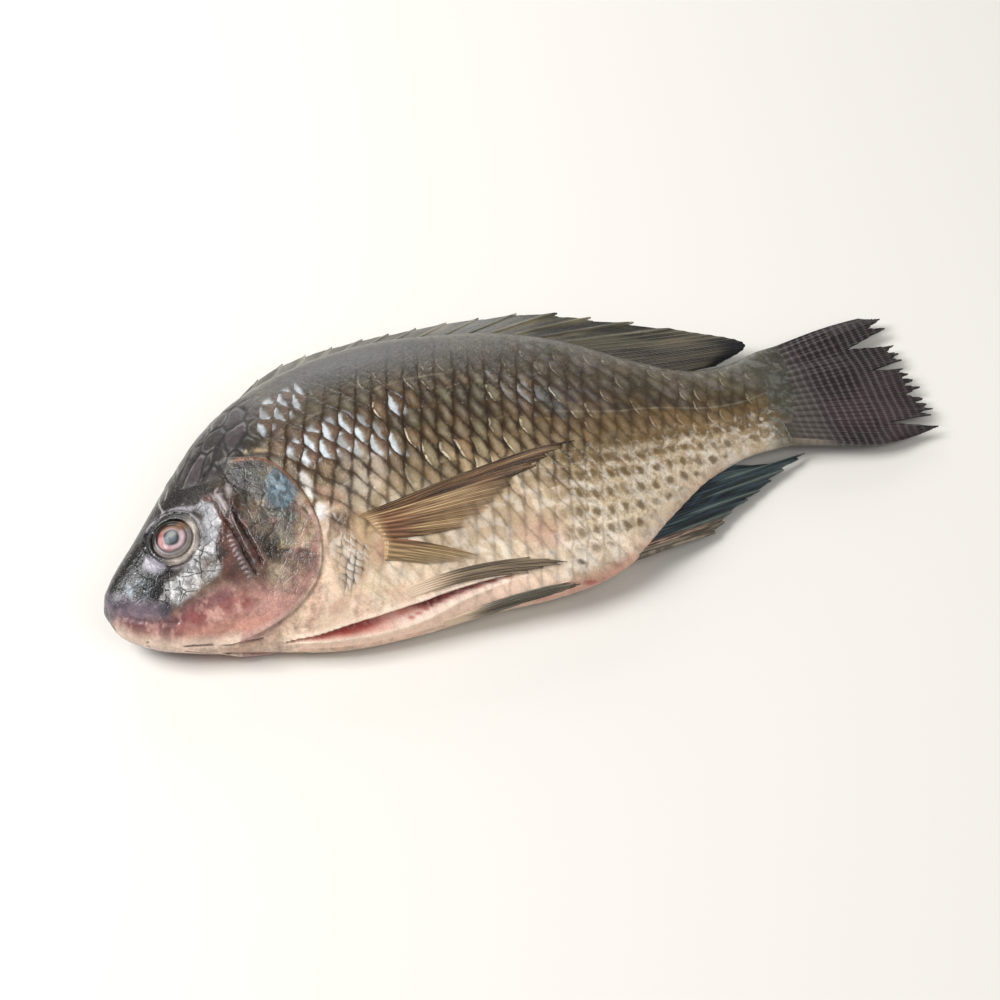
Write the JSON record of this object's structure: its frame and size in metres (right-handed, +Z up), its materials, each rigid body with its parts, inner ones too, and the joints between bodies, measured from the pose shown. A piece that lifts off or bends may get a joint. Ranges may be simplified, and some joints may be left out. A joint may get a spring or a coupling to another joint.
{
  "type": "whole raw fish",
  "caption": "Whole raw freshwater fish with fins and scales, gutted through a belly cut, lying on its side.",
  "frame": {"origin": "middle of the bounding box at the height of the surface the fish lies on", "axes": "+X from the snout to the tail fin, +Y from the belly to the back, +Z up, out of the left flank"},
  "size_m": [0.3638, 0.1474, 0.0517],
  "materials": {
    "skin": "wet scaled skin, dark olive grey on the back, cream on the belly",
    "eye": "wet clear cornea over a pink ringed iris and a cloudy pupil"
  },
  "bodies": {
    "root": {"fish": "skin", "eye_left": "eye", "eye_right": "eye"}
  },
  "joints": []
}
